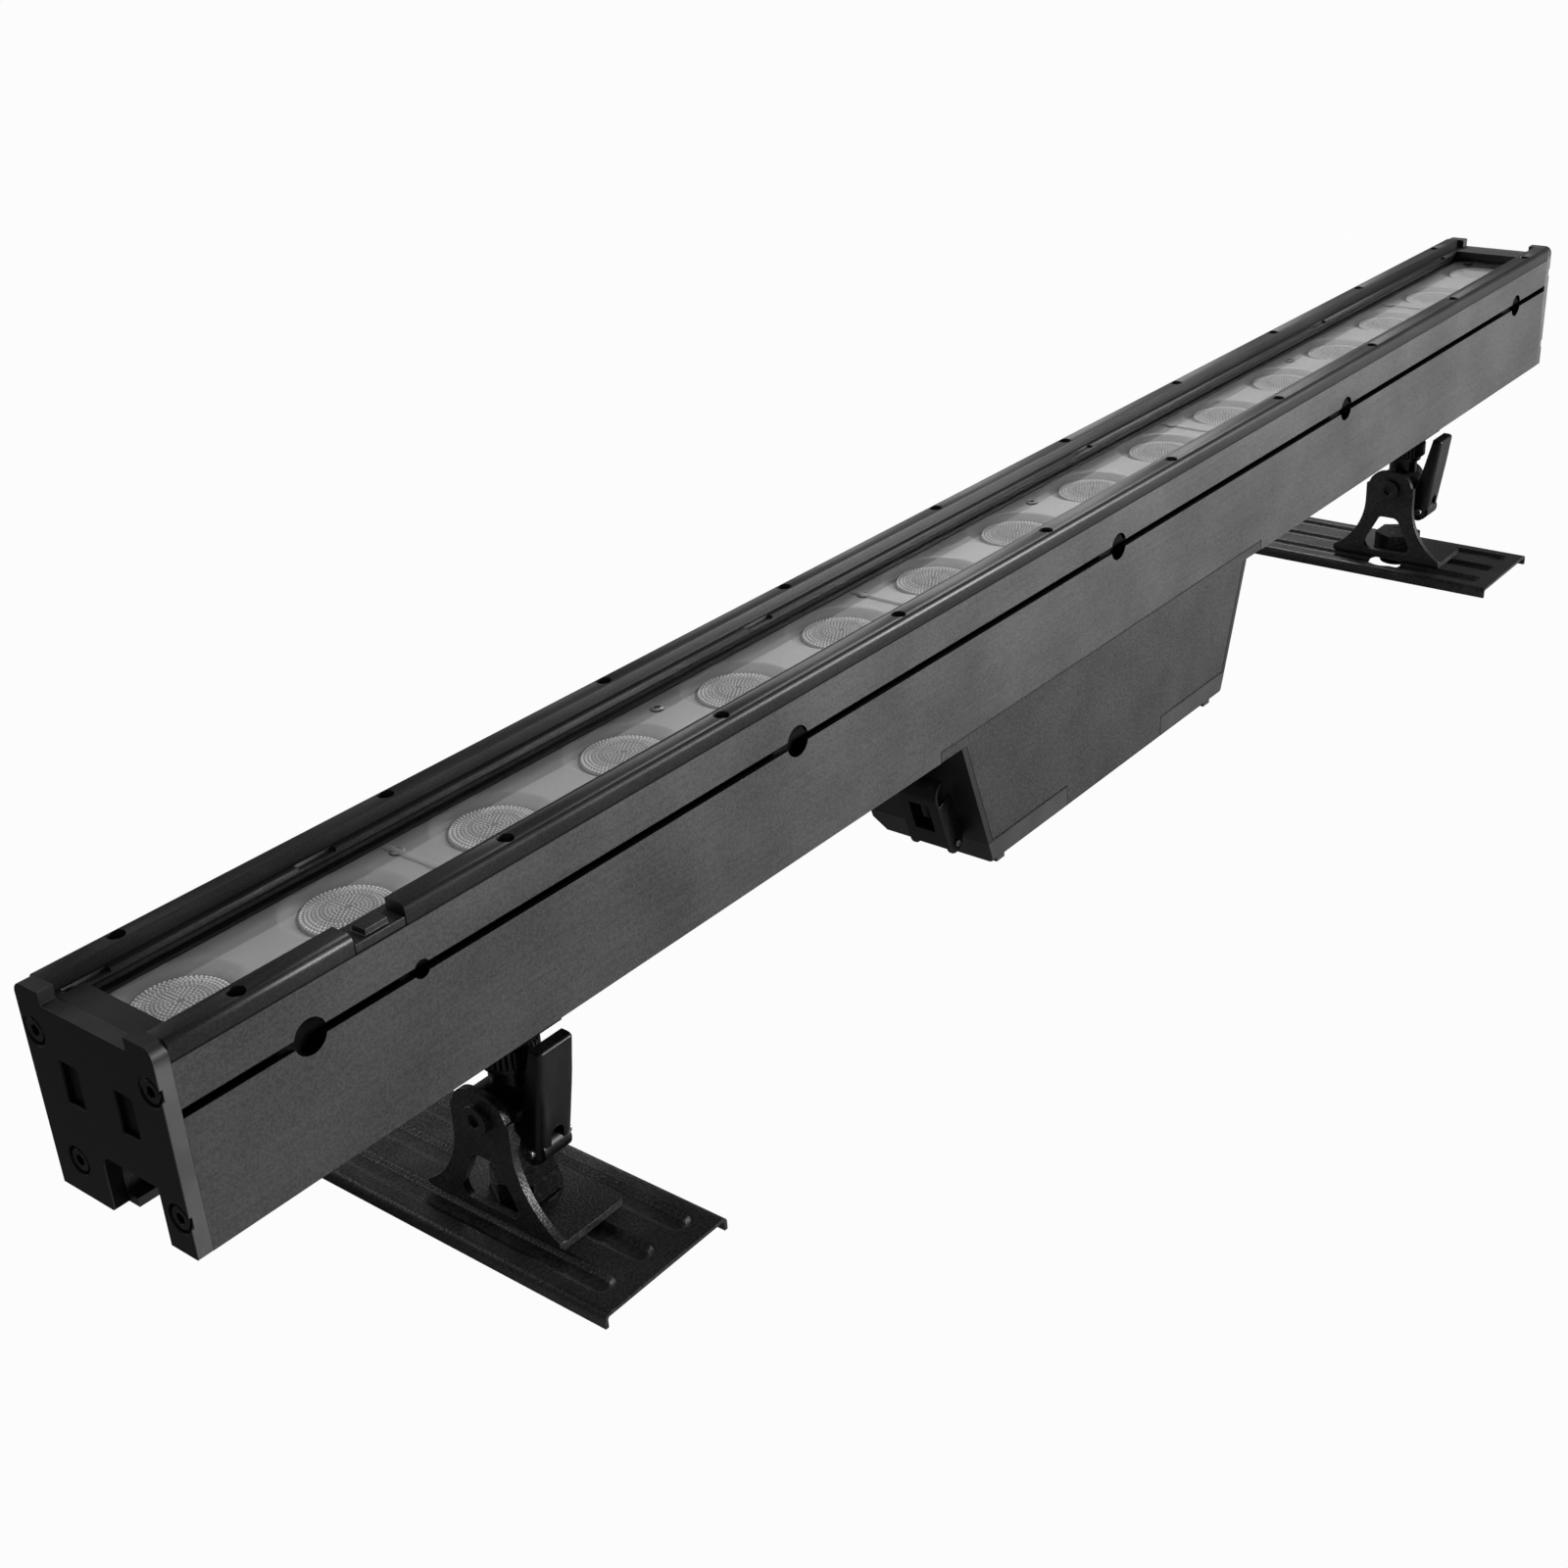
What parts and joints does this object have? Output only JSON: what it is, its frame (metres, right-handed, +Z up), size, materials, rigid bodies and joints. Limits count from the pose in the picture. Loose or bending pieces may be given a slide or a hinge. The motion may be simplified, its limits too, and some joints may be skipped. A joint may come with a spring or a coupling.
{
  "type": "outdoor wall washer light",
  "caption": "Outdoor linear LED wall washer: a dark aluminium light bar under flat glass, a driver box latched below its middle, on sliding feet that tilt and swivel on pressed floor plates.",
  "frame": {"origin": "on the floor, at the middle of the object's footprint: half way along the bar and half way along the floor plates", "axes": "+X along the bar, with the near end of the picture at -X; -Y is the front face with the lock levers; +Z up, the way the light leaves at rest"},
  "size_m": [1, 0.16, 0.1571],
  "materials": {
    "anodised_body": "dark satin anodised, fine grain",
    "black_rail": "black anodised, semi-gloss",
    "black_cap": "black powder coat, satin",
    "box_paint": "dark grey paint, satin",
    "black_steel": "black coated pressed steel, satin",
    "latch_steel": "dark plated spring steel",
    "zinc_steel": "dull zinc plate",
    "dark_screws": "blackened steel",
    "clamp_alloy": "dark cast alloy, satin",
    "front_glass": "clear flat glass",
    "clear_lens": "clear moulded lens, beaded top",
    "tray_plastic": "light grey moulding",
    "white_board": "white solder mask",
    "green_board": "green circuit board",
    "seal_rubber": "black rubber",
    "socket_plastic": "black moulding"
  },
  "bodies": {
    "bar": {"housing": "anodised_body", "front_rail": "black_rail", "back_rail": "black_rail", "rail_clip": "black_cap", "end_cap_left": "black_cap", "end_cap_right": "black_cap", "end_cap_screws": "dark_screws", "rail_screws": "dark_screws", "glass": "front_glass", "glass_seal": "seal_rubber", "glass_end_plates": "black_cap", "lens_tray": "tray_plastic", "tray_screws": "zinc_steel", "lenses_1": "clear_lens", "lenses_2": "clear_lens", "lenses_3": "clear_lens", "lenses_4": "clear_lens", "led_board_1": "white_board", "led_board_2": "white_board", "led_board_3": "white_board", "led_board_4": "white_board", "driver_case": "anodised_body", "driver_end_left": "box_paint", "driver_end_right": "box_paint", "driver_board": "green_board", "power_socket": "socket_plastic", "signal_socket": "socket_plastic", "latch_pins": "zinc_steel"},
    "latch_left": {"latch_left": "latch_steel"},
    "latch_right": {"latch_right": "latch_steel"},
    "left_carriage": {"left_clamp_slider": "clamp_alloy", "left_clamp_plate": "black_steel", "left_clamp_hinge": "clamp_alloy", "left_lever_pin": "zinc_steel"},
    "left_wheel": {"left_knurled_wheel": "clamp_alloy"},
    "left_lever": {"left_lock_lever": "latch_steel"},
    "left_bracket": {"left_tilt_bracket": "black_steel", "left_tilt_bolt": "zinc_steel", "left_swivel_bolt": "zinc_steel", "left_swivel_nut": "zinc_steel"},
    "left_plate": {"left_floor_plate": "black_steel"},
    "right_carriage": {"right_clamp_slider": "clamp_alloy", "right_clamp_plate": "black_steel", "right_clamp_hinge": "clamp_alloy", "right_lever_pin": "zinc_steel"},
    "right_wheel": {"right_knurled_wheel": "clamp_alloy"},
    "right_lever": {"right_lock_lever": "latch_steel"},
    "right_bracket": {"right_tilt_bracket": "black_steel", "right_tilt_bolt": "zinc_steel", "right_swivel_bolt": "zinc_steel", "right_swivel_nut": "zinc_steel"},
    "right_plate": {"right_floor_plate": "black_steel"}
  },
  "joints": [
    {"name": "left_foot_slide", "type": "slide", "parent": "bar", "child": "left_carriage", "axis": [1, 0, 0], "range_m": [-0.1, 0.15]},
    {"name": "left_wheel_turn", "type": "hinge", "parent": "left_carriage", "child": "left_wheel", "pos_m": [-0.357, -0.015, 0.069], "axis": [0, 0, 1], "range_deg": [-180, 180]},
    {"name": "left_lever_open", "type": "hinge", "parent": "left_carriage", "child": "left_lever", "pos_m": [-0.357, -0.0295, 0.035], "axis": [1, 0, 0], "range_deg": [0, 60]},
    {"name": "left_tilt", "type": "hinge", "parent": "left_carriage", "child": "left_bracket", "pos_m": [-0.357, -0.015, 0.0485], "axis": [1, 0, 0], "range_deg": [-90, 90]},
    {"name": "left_swivel", "type": "hinge", "parent": "left_bracket", "child": "left_plate", "pos_m": [-0.357, -0.015, 0.006], "axis": [0, 0, 1], "range_deg": [-90, 90]},
    {"name": "right_foot_slide", "type": "slide", "parent": "bar", "child": "right_carriage", "axis": [1, 0, 0], "range_m": [-0.15, 0.1]},
    {"name": "right_wheel_turn", "type": "hinge", "parent": "right_carriage", "child": "right_wheel", "pos_m": [0.366, -0.015, 0.069], "axis": [0, 0, 1], "range_deg": [-180, 180]},
    {"name": "right_lever_open", "type": "hinge", "parent": "right_carriage", "child": "right_lever", "pos_m": [0.366, -0.0295, 0.035], "axis": [1, 0, 0], "range_deg": [0, 60]},
    {"name": "right_tilt", "type": "hinge", "parent": "right_carriage", "child": "right_bracket", "pos_m": [0.366, -0.015, 0.0485], "axis": [1, 0, 0], "range_deg": [-90, 90]},
    {"name": "right_swivel", "type": "hinge", "parent": "right_bracket", "child": "right_plate", "pos_m": [0.366, -0.015, 0.006], "axis": [0, 0, 1], "range_deg": [-90, 90]},
    {"name": "latch_left_open", "type": "hinge", "parent": "bar", "child": "latch_left", "pos_m": [-0.11171, -0.0195, 0.03668], "axis": [0, -1, 0], "range_deg": [0, 60]},
    {"name": "latch_right_open", "type": "hinge", "parent": "bar", "child": "latch_right", "pos_m": [0.11171, -0.0195, 0.03668], "axis": [0, 1, 0], "range_deg": [0, 60]}
  ],
  "couplings": [
    {"joint": "right_tilt", "follows": "left_tilt", "ratio": 1}
  ]
}
